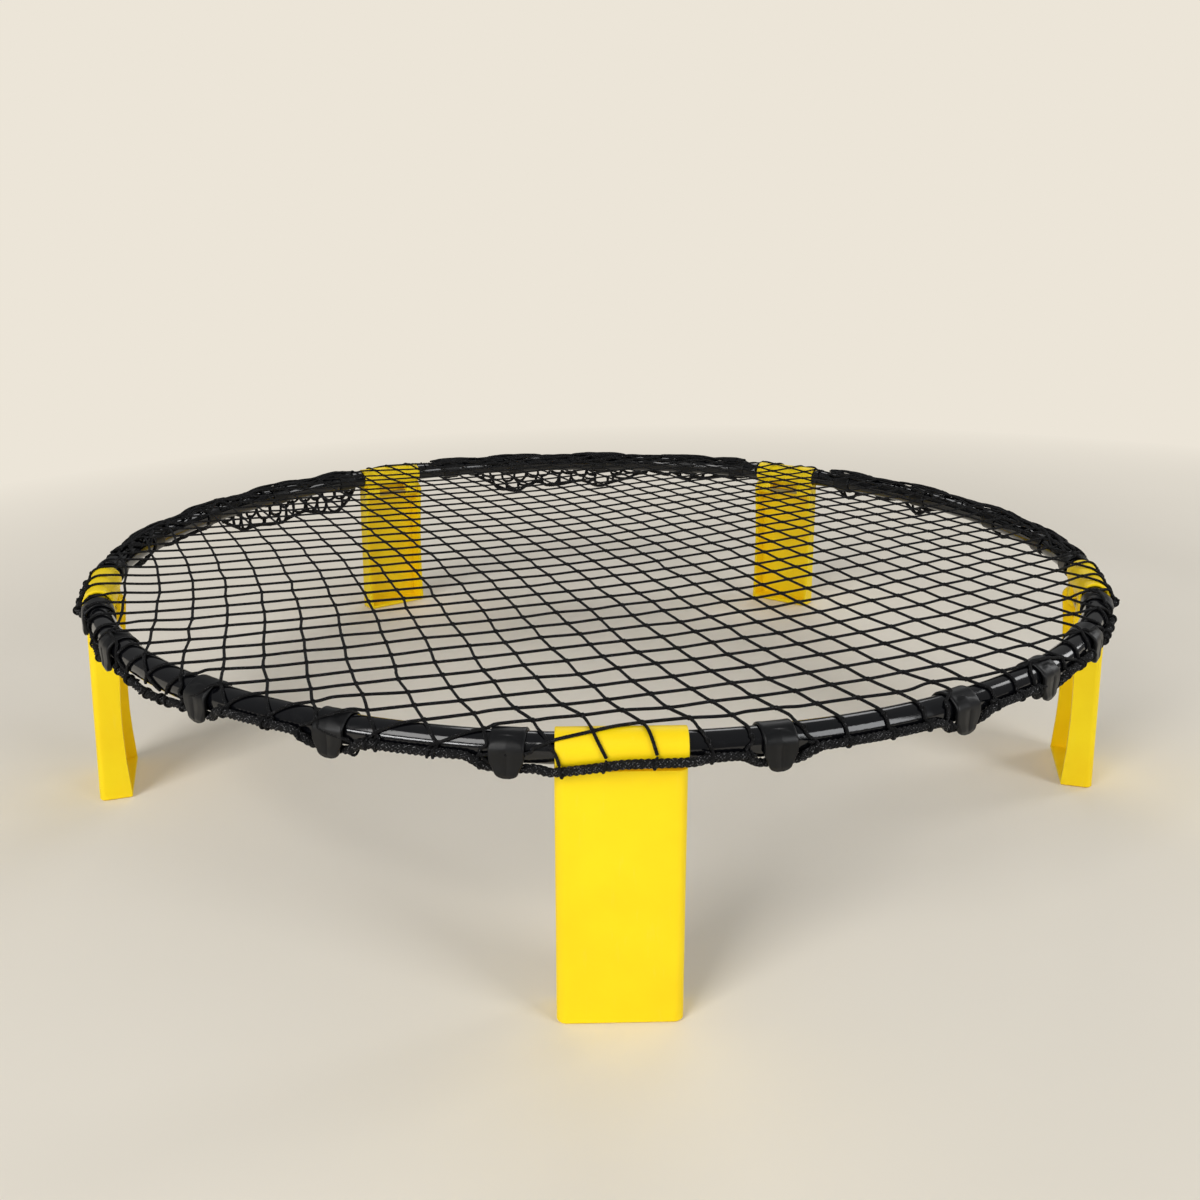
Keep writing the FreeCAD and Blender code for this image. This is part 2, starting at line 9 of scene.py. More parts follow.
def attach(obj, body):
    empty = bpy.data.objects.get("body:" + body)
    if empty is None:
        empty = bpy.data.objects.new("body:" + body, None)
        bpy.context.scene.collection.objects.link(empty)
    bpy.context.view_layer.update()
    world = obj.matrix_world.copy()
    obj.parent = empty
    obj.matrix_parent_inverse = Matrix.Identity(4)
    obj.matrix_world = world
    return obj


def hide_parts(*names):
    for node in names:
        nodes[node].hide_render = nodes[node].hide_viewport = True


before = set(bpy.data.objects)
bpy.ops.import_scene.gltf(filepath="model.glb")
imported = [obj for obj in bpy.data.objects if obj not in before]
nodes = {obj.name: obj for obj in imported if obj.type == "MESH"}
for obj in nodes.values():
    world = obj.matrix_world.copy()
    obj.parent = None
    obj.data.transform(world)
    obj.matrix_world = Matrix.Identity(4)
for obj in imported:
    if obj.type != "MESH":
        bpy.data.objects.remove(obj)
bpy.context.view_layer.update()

# Lengths are in millimetres and angles in degrees, as in the part's source, where nothing else is said.
# MM turns a length into the scene's metres.
MM = 0.001
UP = np.array([0.0, 0.0, 1.0])

# The rim: its radius and height to the tube's middle, the tube's radius, and how far from a head's middle
# a tube ends.
RING, HEIGHT, TUBE, TUBE_END = 447.5, 176.0, 9.5, 6.5
# A head: how far out its straight sleeve lies, half its length and its radius, then the radius of its
# sockets and how far from its middle they end.
HEAD_X, HEAD_HALF, HEAD_RADIUS = 445.9, 38.5, 12.25
SOCKET, SOCKET_END = 9.65, 7.0
# The tube is straight this far to each side of a head's middle, and has its full bend after so much more.
STRAIGHT, BEND = 40, 8
# The hinge's place, a knuckle's radius, where along the pin it starts and ends, and the radius inside the
# sleeve that its neck goes up to.
HINGE_X, HINGE_Z = 441.4, 154.75
KNUCKLE, KNUCKLE_ENDS, NECK = 5.6, (19.2, 35.2), 10.9
# The top of a blade, and how much its lip is raised to meet the head, in metres. The front one needs less.
BLADE_TOP, LIP, FRONT_LIP = 163.45 * MM, 2.8 * MM, 0.8 * MM
# A hook's band: its inner and outer radius beside the tongue, its middle's radius where it is snug, half its
# width, and how far round the tube it reaches from the outer side.
HOOK_BORE, HOOK_OUTER, HOOK_SNUG, HOOK_HALF, BAND = 10.2, 12.6, 10.45, 10.5, 238
# A hook's tongue: the height it ends at, half its width there, and the length and curve of its rounded knob.
HOOK_LOW, TIP_HALF, KNOB, KNOB_POWER = 161.0, 7.2, 5.6, 2.8
# The radius of the edge rope and of a strand of the net.
ROPE, STRAND = 2.75, 1.05

LEGS = {"front": -90.0, "right": -18.0, "back_right": 54.0, "back_left": 126.0, "left": 198.0}
BAY = 72
# Where the hooks sit in each bay, as shares of the way between its two heads' mouths.
BAYS = {
    "front_right": (0.108, 0.380, 0.566, 0.758, 0.946),
    "back_right": (0.054, 0.212, 0.414, 0.668, 0.908),
    "back": (0.067, 0.216, 0.469, 0.710, 0.899),
    "back_left": (0.054, 0.268, 0.500, 0.732, 0.946),
    "front_left": (0.054, 0.238, 0.503, 0.722, 0.946),
}
# How far round the tube from its top the rope lies behind the hooks' tongues, and over how many mm beside
# a hook it leaves that.
ROPE_LOW, ROPE_CLIMB = 146.2, 14.0
# How far it rises from there in each gap between two hooks of a bay, and how far it hangs below that in mm.
RISES = {
    "front_right": (51, 54, 50, 50),
    "back_right": (46, 40, 36, 36),
    "back": (30, 30, 34, 30),
    "back_left": (32, 34, 30, 30),
    "front_left": (4, 10, 54, 50),
}
SAGS = {
    "front_right": (0, 0, 0, 0),
    "back_right": (0, 0, 0, 0),
    "back": (0, 1, 2, 0),
    "back_left": (1, 2, 0, 0),
    "front_left": (9, 4, 0, 0),
}
# Where the rope crosses each head, from the top: at its middle, and what that gains per mm before and after
# it, counter-clockwise seen from above, as far as CROSSING on each side.
OVER_HEADS = {
    "front": (104.0, -0.70, -0.10),
    "right": (98.0, 0.0, 0.0),
    "back_right": (84.0, 0.1, 0.1),
    "back_left": (76.0, 0.4, 0.4),
    "left": (98.0, 0.0, 0.0),
}
CROSSING = 44
# Hooks, by their number round the rim, beside which the strands cross over the band's face and aren't pulled
# right off it, and what is left of the pull there.
CROSSED_HOOKS, CROSSED_PULL = (0, 9, 13, 20, 22, 23, 24), 0.25

random = np.random.default_rng(11)


def bay_start(number):
    """The angle of the head that a bay starts at, in radians."""
    return math.radians(BAY * number - 90)


def hook_turns():
    """Each bay's hooks as angles round the rim, in radians."""
    mouth = math.atan(HEAD_HALF / HEAD_X)
    found = {}
    for number, (name, shares) in enumerate(BAYS.items()):
        start = bay_start(number) + mouth
        found[name] = [start + (math.radians(BAY) - 2 * mouth) * share for share in shares]
    return found


HOOKS = hook_turns()
HOOK_ANGLES = np.array([angle for angles in HOOKS.values() for angle in angles])
LEG_ANGLES = np.radians(np.array(list(LEGS.values())))
HOOK_PUSH = np.ones(len(HOOK_ANGLES))
HOOK_PUSH[list(CROSSED_HOOKS)] = CROSSED_PULL


def smooth(value):
    """0 up to 0, 1 from 1 on, and an even rise between them."""
    value = np.clip(value, 0, 1)
    return value * value * (3 - 2 * value)


def near(angles, stations):
    """Distance along the rim, in mm, from the nearest of the stations, and which one it is."""
    turn = (angles[:, None] - stations[None, :] + math.pi) % (2 * math.pi) - math.pi
    nearest = np.abs(turn).argmin(axis=1)
    return turn[np.arange(len(angles)), nearest] * RING, nearest


# ---- camera, floor and light

# The camera that was fitted to the photograph: its place in metres, the level direction it faces, how far it
# looks up and is rolled, and its focal length and sensor's width.
CAMERA_PLACE, CAMERA_FACING = (-0.03097, -0.99085, 0.44301), (0.03372, 0.99943)
CAMERA_PITCH, CAMERA_ROLL = -18.028, 0.175
CAMERA_LENS, CAMERA_SENSOR = 31.163, 36.0


def aim(ob, target, roll=0.0):
    """Turns a camera or lamp to the target."""
    away = (Vector(target) - ob.location).normalized()
    right = away.cross(Vector((0, 0, 1))).normalized()
    up = right.cross(away)
    turn = Matrix((right, up, -away)).transposed()
    ob.rotation_euler = (turn @ Matrix.Rotation(roll, 3, "Z")).to_euler()


def put(name, data):
    """A new object in the scene."""
    ob = bpy.data.objects.new(name, data)
    bpy.context.collection.objects.link(ob)
    return ob


def make_camera():
    camera = put("camera", bpy.data.cameras.new("camera"))
    camera.data.lens, camera.data.sensor_width, camera.data.clip_end = CAMERA_LENS, CAMERA_SENSOR, 60.0
    camera.location = CAMERA_PLACE
    pitch = math.radians(CAMERA_PITCH)
    ahead = Vector((*(part * math.cos(pitch) for part in CAMERA_FACING), math.sin(pitch)))
    aim(camera, camera.location + ahead, math.radians(CAMERA_ROLL))
    bpy.context.scene.camera = camera
    bpy.context.scene.view_settings.view_transform = "Standard"


class Nodes:
    """A material's or world's nodes, added and joined by short calls."""

    def __init__(self, tree):
        self.tree = tree
        self.tree.nodes.clear()

    def give(self, value, socket):
        """Joins an output to this input, or sets the input to a value."""
        if isinstance(value, bpy.types.NodeSocket):
            self.tree.links.new(value, socket)
        else:
            socket.default_value = value

    def add(self, kind, **values):
        """A new node. A key like in_Base_Color or in_0 is one of its inputs, and any other is a setting."""
        node = self.tree.nodes.new(kind)
        for key, value in values.items():
            if key.startswith("in_"):
                name = key[3:].replace("_", " ")
                self.give(value, node.inputs[int(name)] if name.isdigit() else node.inputs[name])
            else:
                setattr(node, key, value)
        return node

    def math(self, operation, first, second=0.0, clamp=False):
        node = self.add("ShaderNodeMath", operation=operation, use_clamp=clamp, in_0=first, in_1=second)
        return node.outputs[0]

    def mix(self, share, first, second):
        return self.add("ShaderNodeMix", data_type="RGBA", in_0=share, in_6=first, in_7=second).outputs[2]

    def ramp(self, share, low, high, start=0.0, end=1.0):
        """Goes from start to end as the share goes from low to high."""
        return self.add("ShaderNodeMapRange", in_Value=share, in_From_Min=low, in_From_Max=high,
                        in_To_Min=start, in_To_Max=end).outputs[0]

    def noise(self, place, scale, detail=3.0, rough=0.5):
        return self.add("ShaderNodeTexNoise", in_Vector=place, in_Scale=scale, in_Detail=detail,
                        in_Roughness=rough).outputs[0]

    def stretched(self, place, scale):
        return self.add("ShaderNodeMapping", in_Vector=place, in_Scale=scale).outputs[0]

    def bump(self, height, strength, distance, normal=None):
        node = self.add("ShaderNodeBump", in_Strength=strength, in_Distance=distance, in_Height=height)
        if normal is not None:
            self.give(normal, node.inputs["Normal"])
        return node.outputs[0]

    def worn_edges(self, low, high):
        """0 on flats and 1 on edges that stand out."""
        return self.ramp(self.add("ShaderNodeNewGeometry").outputs["Pointiness"], low, high)

    def finish(self, shader, output="ShaderNodeOutputMaterial"):
        """Joins the shader to the output."""
        self.add(output, in_0=shader.outputs[0])

    def finish_two(self, share, first, second, output="ShaderNodeOutputMaterial"):
        """Joins two shaders to the output, with this share of the second."""
        both = self.add("ShaderNodeMixShader", in_0=share, in_1=first.outputs[0], in_2=second.outputs[0])
        self.finish(both, output)


def new_material(name):
    material = bpy.data.materials.new(name)
    material.use_nodes = True
    return material, Nodes(material.node_tree)


def srgb(red, green, blue):
    """The shader's colour for a colour as seen on screen, 0 to 255."""
    shown = [part / 255 for part in (red, green, blue)]
    return (*(part / 12.92 if part <= 0.04045 else ((part + 0.055) / 1.055) ** 2.4 for part in shown), 1.0)


BACKDROP = srgb(236, 229, 216)
WORLD_LIGHT = 0.30
# The floor, in metres: the radii of its rings of faces and how far under the feet it lies. It fades into the
# backdrop between two distances from a place right of the set's middle.
FLOOR_RINGS, FLOOR_SIDES, FLOOR_DROP = (0.8, 1.4, 2.2, 4.0, 12.0), 64, 0.0004
FADE_FROM, FADE_START, FADE_END = (0.4, 0.0, 0.0), 0.75, 2.0
# Each lamp's name, place, target, power in watts, size in metres and tint.
LAMPS = (
    ("key", (-1.3, -1.9, 1.9), (0, 0, 0.1), 29, (1.2, 1.2), (1.0, 0.985, 0.96)),
    ("fill", (1.8, -1.7, 1.1), (0, 0, 0.1), 22, (1.0, 1.2), (0.98, 0.99, 1.0)),
    ("rim", (0.4, 2.1, 1.9), (0, 0, 0.1), 13, (1.8, 0.9), (1, 1, 1)),
    ("strip", (-1.55, -2.1, 0.80), (-0.12, -0.43, 0.18), 17, (1.25, 0.24), (1, 1, 1)),
    ("side", (2.2, 0.5, 1.2), (0.3, 0, 0.15), 9, (0.5, 1.2), (1, 1, 1)),
)


def make_world():
    """Soft light from all round, and a plain backdrop for what the camera sees of it."""
    world = bpy.data.worlds.new("studio")
    bpy.context.scene.world = world
    world.use_nodes = True
    made = Nodes(world.node_tree)
    path = made.add("ShaderNodeLightPath")
    seen = made.math("ADD", path.outputs["Is Camera Ray"], path.outputs["Is Transmission Ray"], clamp=True)
    way = made.add("ShaderNodeTexCoord").outputs["Generated"]
    height = made.ramp(made.add("ShaderNodeSeparateXYZ", in_Vector=way).outputs[2], -0.2, 0.9)
    light = made.mix(height, (0.50, 0.49, 0.47, 1), (0.86, 0.87, 0.88, 1))
    lit = made.add("ShaderNodeBackground", in_Color=light, in_Strength=WORLD_LIGHT)
    shown = made.add("ShaderNodeBackground", in_Color=BACKDROP, in_Strength=1.0)
    made.finish_two(seen, lit, shown, "ShaderNodeOutputWorld")


def make_floor():
    """A round pale floor that passes into the backdrop far away."""
    turns = np.arange(FLOOR_SIDES) * 2 * math.pi / FLOOR_SIDES
    points = [(radius * math.cos(turn), radius * math.sin(turn), -FLOOR_DROP)
              for radius in FLOOR_RINGS for turn in turns]
    faces = [list(range(FLOOR_SIDES))]
    for ring in range(len(FLOOR_RINGS) - 1):
        for k in range(FLOOR_SIDES):
            a, b = ring * FLOOR_SIDES + k, ring * FLOOR_SIDES + (k + 1) % FLOOR_SIDES
            faces.append([a, a + FLOOR_SIDES, b + FLOOR_SIDES, b])
    mesh = bpy.data.meshes.new("floor")
    mesh.from_pydata(points, [], faces)
    floor = put("floor", mesh)
    material, made = new_material("floor")
    place = made.add("ShaderNodeTexCoord").outputs["Object"]
    tone = made.mix(made.noise(place, 3.0), srgb(234, 227, 213), srgb(240, 233, 220))
    matt = made.add("ShaderNodeBsdfPrincipled", in_Base_Color=tone, in_Roughness=0.9)
    glow = made.add("ShaderNodeEmission", in_Color=BACKDROP, in_Strength=1.0)
    away = made.add("ShaderNodeVectorMath", operation="DISTANCE", in_0=place, in_1=FADE_FROM).outputs["Value"]
    made.finish_two(made.ramp(away, FADE_START, FADE_END), matt, glow)
    mesh.materials.append(material)


def lamp(name, place, target, power, size, tint):
    data = bpy.data.lights.new(name, "AREA")
    data.energy, data.shape, data.size, data.size_y = power, "RECTANGLE", size[0], size[1]
    data.color = tint
    ob = put(name, data)
    ob.location = place
    aim(ob, target)


make_camera()
make_world()
make_floor()
for values in LAMPS:
    lamp(*values)


# ---- materials

def yellow_plastic():
    """Bright moulded plastic, a little uneven in shade, with rubbed edges and faint scuffs."""
    material, made = new_material("yellow_plastic")
    place = made.add("ShaderNodeTexCoord").outputs["Object"]
    cloud = made.noise(place, 14.0, 4.0)
    tone = made.mix(made.ramp(cloud, 0.3, 0.7), srgb(250, 212, 8), srgb(255, 225, 16))
    scuffs = made.ramp(made.noise(made.stretched(place, (260, 260, 24)), 1.0, 6.0, 0.65), 0.60, 0.74)
    tone = made.mix(made.math("MULTIPLY", scuffs, 0.10), tone, srgb(255, 238, 120))
    tone = made.mix(made.math("MULTIPLY", made.worn_edges(0.53, 0.60), 0.25), tone, srgb(255, 234, 70))
    pebble = made.noise(place, 1700.0, 2.0)
    normal = made.bump(pebble, 0.10, 0.0003, made.bump(scuffs, 0.06, 0.0002))
    made.finish(made.add("ShaderNodeBsdfPrincipled", in_Base_Color=tone, in_Normal=normal,
                         in_Roughness=made.ramp(cloud, 0.0, 1.0, 0.40, 0.54), in_Specular_IOR_Level=0.28))
    return material


def tube_plastic():
    """Glossy black pipe with fine draw lines along it and dusty patches."""
    material, made = new_material("black_tube")
    place = made.add("ShaderNodeTexCoord")
    lines = made.noise(made.stretched(place.outputs["UV"], (90, 6, 1)), 1.0, 4.0, 0.6)
    dust = made.ramp(made.noise(place.outputs["Object"], 60.0, 5.0, 0.7), 0.55, 0.78)
    tone = made.mix(made.math("MULTIPLY", dust, 0.16), (0.0022, 0.0024, 0.0034, 1), (0.022, 0.022, 0.024, 1))
    rough = made.math("ADD", 0.07, made.math("MULTIPLY", made.ramp(lines, 0.3, 0.8), 0.07))
    rough = made.math("ADD", rough, made.math("MULTIPLY", dust, 0.15))
    made.finish(made.add("ShaderNodeBsdfPrincipled", in_Base_Color=tone, in_Roughness=rough,
                         in_Normal=made.bump(lines, 0.12, 0.0002), in_Specular_IOR_Level=0.5))
    return material


def grey_plastic():
    """Satin charcoal clip plastic, fine grained, paler where it was bent and rubbed."""
    material, made = new_material("grey_plastic")
    place = made.add("ShaderNodeTexCoord").outputs["Object"]
    cloud = made.noise(place, 45.0, 4.0)
    tone = made.mix(made.ramp(cloud, 0.3, 0.7), (0.0024, 0.0026, 0.0031, 1), (0.0056, 0.0059, 0.0066, 1))
    tone = made.mix(made.math("MULTIPLY", made.worn_edges(0.52, 0.60), 0.4), tone, (0.022, 0.022, 0.024, 1))
    normal = made.bump(made.noise(place, 1500.0, 2.0), 0.15, 0.0002)
    made.finish(made.add("ShaderNodeBsdfPrincipled", in_Base_Color=tone, in_Normal=normal,
                         in_Roughness=made.ramp(cloud, 0.0, 1.0, 0.32, 0.46), in_Specular_IOR_Level=0.27))
    return material


def braided_cord(name, dark, light, turns, rise, flecks):
    """Braided cord: plaits that cross round it, with painted shade in the grooves, and pale flecks on top
    that are partly worn fibres and partly painted highlight.

    The map's first axis goes once round the cord, and its second is the length in cord widths."""
    material, made = new_material(name)
    texture = made.add("ShaderNodeTexCoord")
    parts = made.add("ShaderNodeSeparateXYZ", in_Vector=texture.outputs["UV"])
    around = made.math("MULTIPLY", parts.outputs[0], turns)
    along = made.math("MULTIPLY", parts.outputs[1], rise)
    waves = []
    for sign in (1.0, -1.0):
        phase = made.math("ADD", around, made.math("MULTIPLY", along, sign))
        wave = made.math("SINE", made.math("MULTIPLY", phase, 2 * math.pi))
        waves.append(made.math("ABSOLUTE", wave))
    plait = made.math("MAXIMUM", *waves)
    fibre = made.noise(texture.outputs["Object"], 2600.0, 3.0, 0.7)
    fray = made.noise(texture.outputs["Object"], 900.0, 3.0, 0.75)
    # Pale flecks on the plaits' tops: partly worn fibres, partly painted highlight where light would catch
    # the strands.
    worn_and_highlight = made.math("MULTIPLY", made.ramp(plait, 0.90, 1.0), made.ramp(fray, flecks, flecks + 0.08))
    # The grooves between the plaits are darkened in the colour itself: painted shade.
    groove_shade = tuple(part * 0.3 for part in dark[:3]) + (1,)
    tone = made.mix(worn_and_highlight, made.mix(made.ramp(plait, 0.6, 1.0), groove_shade, dark), light)
    height = made.math("ADD", plait, made.math("MULTIPLY", fibre, 0.35))
    made.finish(made.add("ShaderNodeBsdfPrincipled", in_Base_Color=tone,
                         in_Roughness=made.ramp(fibre, -1.2, 0.8),
                         in_Normal=made.bump(height, 0.5, 0.0004), in_Specular_IOR_Level=0.22))
    return material


def pin_steel():
    """Steel pin with a yellowish plating, finely scratched."""
    material, made = new_material("pin_steel")
    place = made.add("ShaderNodeTexCoord").outputs["Object"]
    lines = made.noise(made.stretched(place, (900, 900, 900)), 1.0, 3.0)
    tone = made.mix(lines, (0.40, 0.33, 0.15, 1), (0.50, 0.42, 0.20, 1))
    made.finish(made.add("ShaderNodeBsdfPrincipled", in_Base_Color=tone, in_Metallic=1.0,
                         in_Roughness=made.ramp(lines, 0.0, 1.0, 0.24, 0.40),
                         in_Normal=made.bump(lines, 0.1, 0.0001)))
    return material


YELLOW, BLACK, GREY, STEEL = yellow_plastic(), tube_plastic(), grey_plastic(), pin_steel()
# The second colour of each cord is for its pale flecks, which are partly worn fibres and partly painted
# highlight.
NET = braided_cord("net_cord", (0.0042, 0.0042, 0.0048, 1), (0.11, 0.11, 0.12, 1), 2.0, 0.55, 0.57)
EDGE = braided_cord("edge_cord", (0.0045, 0.0045, 0.005, 1), (0.24, 0.24, 0.25, 1), 4.0, 1.1, 0.55)


# ---- meshes

def show(name, mesh, material, body, node):
    """Makes a finished mesh the piece that stands for this CAD node."""
    mesh.materials.append(material)
    ob = put(name, mesh)
    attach(ob, body)
    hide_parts(node)
    return ob


class Shell:
    """Points, four-sided faces and their map, gathered until the mesh is made."""

    def __init__(self):
        self.points, self.faces, self.maps, self.count = [], [], [], 0

    def add(self, points, faces, uv=None):
        self.points.append(np.asarray(points, float))
        self.faces.append(np.asarray(faces, int) + self.count)
        self.maps.append(np.zeros((len(faces), 4, 2)) if uv is None else uv)
        self.count += len(points)

    def make(self, name, material, slot, node):
        points, faces = np.concatenate(self.points) * MM, np.concatenate(self.faces)
        mesh = bpy.data.meshes.new(name)
        mesh.vertices.add(len(points))
        mesh.vertices.foreach_set("co", points.astype(np.float32).ravel())
        mesh.loops.add(faces.size)
        mesh.loops.foreach_set("vertex_index", faces.astype(np.int32).ravel())
        mesh.polygons.add(len(faces))
        mesh.polygons.foreach_set("loop_start", np.arange(0, faces.size, 4, dtype=np.int32))
        mesh.polygons.foreach_set("use_smooth", np.ones(len(faces), bool))
        uv = np.concatenate(self.maps).astype(np.float32)
        mesh.uv_layers.new(name="cord").uv.foreach_set("vector", uv.ravel())
        mesh.update(calc_edges=True)
        mesh.validate()
        return show(name, mesh, material, "frame", node)


def unit(rows):
    return rows / np.maximum(np.linalg.norm(rows, axis=-1, keepdims=True), 1e-12)


def lengths(points):
    """How far along the line each of its points is."""
    return np.concatenate([[0], np.cumsum(np.linalg.norm(np.diff(points, axis=0), axis=1))])


def evenly(points, step, *others):
    """The same line with points this far apart, and whatever goes with its points."""
    at = lengths(points)
    wanted = np.linspace(0, at[-1], max(2, int(round(at[-1] / step)) + 1))
    return [np.stack([np.interp(wanted, at, column) for column in values.T], axis=1)
            for values in (points, *others)]


def eased(points, rounds):
    """The line with its kinks eased, and its ends where they are."""
    points = points.copy()
    for _ in range(rounds):
        points[1:-1] = points[1:-1] * 0.5 + (points[:-2] + points[2:]) * 0.25
    return points


def through(marks, steps):
    """A line that passes through all marks but the first and last, with this many steps between two."""
    t = (np.arange(steps) / steps)[None, :, None]
    a, b, c, d = (part[:, None, :] for part in (marks[:-3], marks[1:-2], marks[2:-1], marks[3:]))
    line = 2 * b + (c - a) * t + (2 * a - 5 * b + 4 * c - d) * t ** 2 + (3 * b - a - 3 * c + d) * t ** 3
    return 0.5 * line.reshape(-1, marks.shape[1])


def skin(rows, sides, along, closed=False):
    """Faces that join rows of points, each a ring of this many sides, and their map: once round the ring, and
    along the rows."""
    strips = rows if closed else rows - 1
    i, j = (part.ravel() for part in np.meshgrid(np.arange(strips), np.arange(sides), indexing="ij"))
    i2, j2 = (i + 1) % rows, (j + 1) % sides
    faces = np.stack([i * sides + j, i2 * sides + j, i2 * sides + j2, i * sides + j2], axis=1)
    low, high = along[i], np.where(i + 1 < rows, along[i2], along[i] + (along[1] - along[0]))
    left, right = j / sides, (j + 1) / sides
    corners = ((left, low), (left, high), (right, high), (right, low))
    return faces, np.stack([np.stack(pair, axis=1) for pair in corners], axis=1)


def cap(shell, ring, inner, tip, last):
    """Closes the first or last ring of a skin: a band to an inner ring, and faces from there to the tip. Each
    of those takes in two sides, so the last side of an odd ring stays open."""
    sides = len(ring)
    a = np.arange(sides)
    b = (a + 1) % sides
    band = np.stack([a, b, b + sides, a + sides], axis=1)
    fan = np.array([[2 * sides, sides + k, sides + k + 1, sides + (k + 2) % sides]
                    for k in range(0, sides - 1, 2)])
    faces = np.concatenate([band, fan])
    shell.add(np.concatenate([ring, inner, tip[None]]), faces[:, ::-1] if last else faces)


def sweep(shell, points, normals, radius, sides=6, closed=False, lobes=0, depth=0.0, twist=0.0):
    """A cord along the points. Lobes twist round it once in this length and stand out by this share."""
    count = len(points)
    if closed:
        along = unit(np.roll(points, -1, axis=0) - np.roll(points, 1, axis=0))
    else:
        along = unit(np.gradient(points, axis=0))
    side = unit(np.cross(along, normals))
    up = np.cross(side, along)
    at = lengths(points)
    radius = np.broadcast_to(np.asarray(radius, float), (count,))
    turn = np.arange(sides) * 2 * math.pi / sides
    reach = np.ones((count, sides))
    if lobes:
        reach += depth * np.cos(lobes * (turn[None, :] - 2 * math.pi * at[:, None] / twist))
    reach = (radius[:, None] * reach)[:, :, None]
    ring = side[:, None, :] * np.cos(turn)[None, :, None] + up[:, None, :] * np.sin(turn)[None, :, None]
    grid = points[:, None, :] + ring * reach
    shell.add(grid.reshape(-1, 3), *skin(count, sides, at / (2 * radius.mean()), closed))
    if not closed:
        for row, order in ((0, -1), (count - 1, 1)):
            end = along[row] * order * radius[row]
            inner = points[row] + (grid[row] - points[row]) * 0.55 + end * 0.4
            cap(shell, grid[row], inner, points[row] + end * 0.5, order > 0)


def loft(shell, sections, ends=True):
    """A skin over sections of equal count, each a ring of points, with or without caps on its ends."""
    sections = np.asarray(sections, float)
    rows, sides = sections.shape[:2]
    middles = sections.mean(axis=1)
    shell.add(sections.reshape(-1, 3), *skin(rows, sides, lengths(middles) / 10))
    for row in (0, rows - 1) if ends else ():
        cap(shell, sections[row], middles[row] + (sections[row] - middles[row]) * 0.5, middles[row], row > 0)


# ---- the rim and what sits on it, as one surface that the net lies on

def across_head(side):
    """How far from a head's middle a place is along its straight sleeve, for this distance along the rim."""
    return np.abs(np.tan(side / RING)) * HEAD_X


def head_share(angles, spread):
    """1 on a leg's head, 0 away from it, over this spread in mm past its mouth."""
    side, _ = near(angles, LEG_ANGLES)
    return 1 - smooth((across_head(side) - HEAD_HALF - 0.4) / spread)


def hook_share(angles, spread):
    """1 on a hook, 0 away from it, over this spread in mm past its edge."""
    side, _ = near(angles, HOOK_ANGLES)
    return 1 - smooth((np.abs(side) - HOOK_HALF - 0.3) / spread)


def centre_radius(angles):
    """Distance of the tube's centre line from the middle of the ring."""
    side, _ = near(angles, LEG_ANGLES)
    share = 1 - smooth((np.abs(side) - STRAIGHT) / BEND)
    return RING + (HEAD_X / np.cos(side / RING) - RING) * share


def surface_reach(angles, inside=0.0):
    """Radius, about the tube's centre line, of the surface that a strand's middle follows.

    Inside the rim by this many mm, the raised heads and hooks ease out into the level net."""
    bare = TUBE + STRAND + 0.05
    spread = 0.8 + inside * 0.9
    head = (HEAD_RADIUS + STRAND + 0.1 - bare) * head_share(angles, spread * 2.5)
    hook = (HOOK_SNUG + STRAND + 1.25 - bare) * hook_share(angles, spread)
    return bare + np.maximum(head, hook) * (1 - smooth(inside / 46))


def ring_out(angles):
    """The level directions out of the ring at these angles."""
    return np.stack([np.cos(angles), np.sin(angles), np.zeros_like(angles)], axis=-1)


def on_rim(angles, reach, turn, drop=0.0):
    """Places this far from the tube's middle, turned this far round it from its top, in radians, and then
    lower by the drop."""
    radius = centre_radius(angles) + reach * np.sin(turn)
    height = HEIGHT + reach * np.cos(turn) - drop
    return np.stack([radius * np.cos(angles), radius * np.sin(angles), height], axis=1)


def rope_gaps():
    """Every gap between two hooks, in order round the rim: start, end, rise and sag. The fifth of each bay
    crosses a head."""
    rises = [value for bay in BAYS for value in (*RISES[bay], 0)]
    sags = [value for bay in BAYS for value in (*SAGS[bay], 0)]
    return np.stack([HOOK_ANGLES, np.roll(HOOK_ANGLES, -1), rises, sags], axis=1)


def rope_lie(angles):
    """Where the edge rope lies: degrees from the tube's top, distance from the tube's middle, and drop in mm.

    It is low behind the hooks' tongues, higher between them, and crosses the outer face of the heads."""
    gaps = rope_gaps()
    place = (angles - gaps[0, 0]) % (2 * math.pi) + gaps[0, 0]
    number = np.clip(np.searchsorted(gaps[:, 0], place, side="right") - 1, 0, len(gaps) - 1)
    start, end, rise, sag = gaps[number].T
    length = (end - start) % (2 * math.pi) * RING
    past = (place - start) * RING
    away = np.minimum(past, length - past)
    climb = smooth((away - HOOK_HALF + 1.0) / ROPE_CLIMB)
    side, leg_number = near(angles, LEG_ANGLES)
    top, before, after = np.array(list(OVER_HEADS.values()))[leg_number].T
    crossing = top + before * np.clip(side, -CROSSING, 0) + after * np.clip(side, 0, CROSSING)
    lie = ROPE_LOW + (np.where(number % 5 == 4, crossing, ROPE_LOW - rise) - ROPE_LOW) * climb
    on_head = 1 - smooth((across_head(side) - HEAD_HALF - 1.5) / 8.0)
    reach = TUBE + ROPE + 0.4 + (HEAD_RADIUS - TUBE + 0.1) * on_head
    middle = smooth((away - HOOK_HALF) / np.maximum(length / 2 - HOOK_HALF, 8.0))
    return lie, reach, sag * middle


def rope_line(angles):
    """The edge rope's middle."""
    lie, reach, drop = rope_lie(angles)
    return on_rim(angles, reach, np.radians(lie), drop)


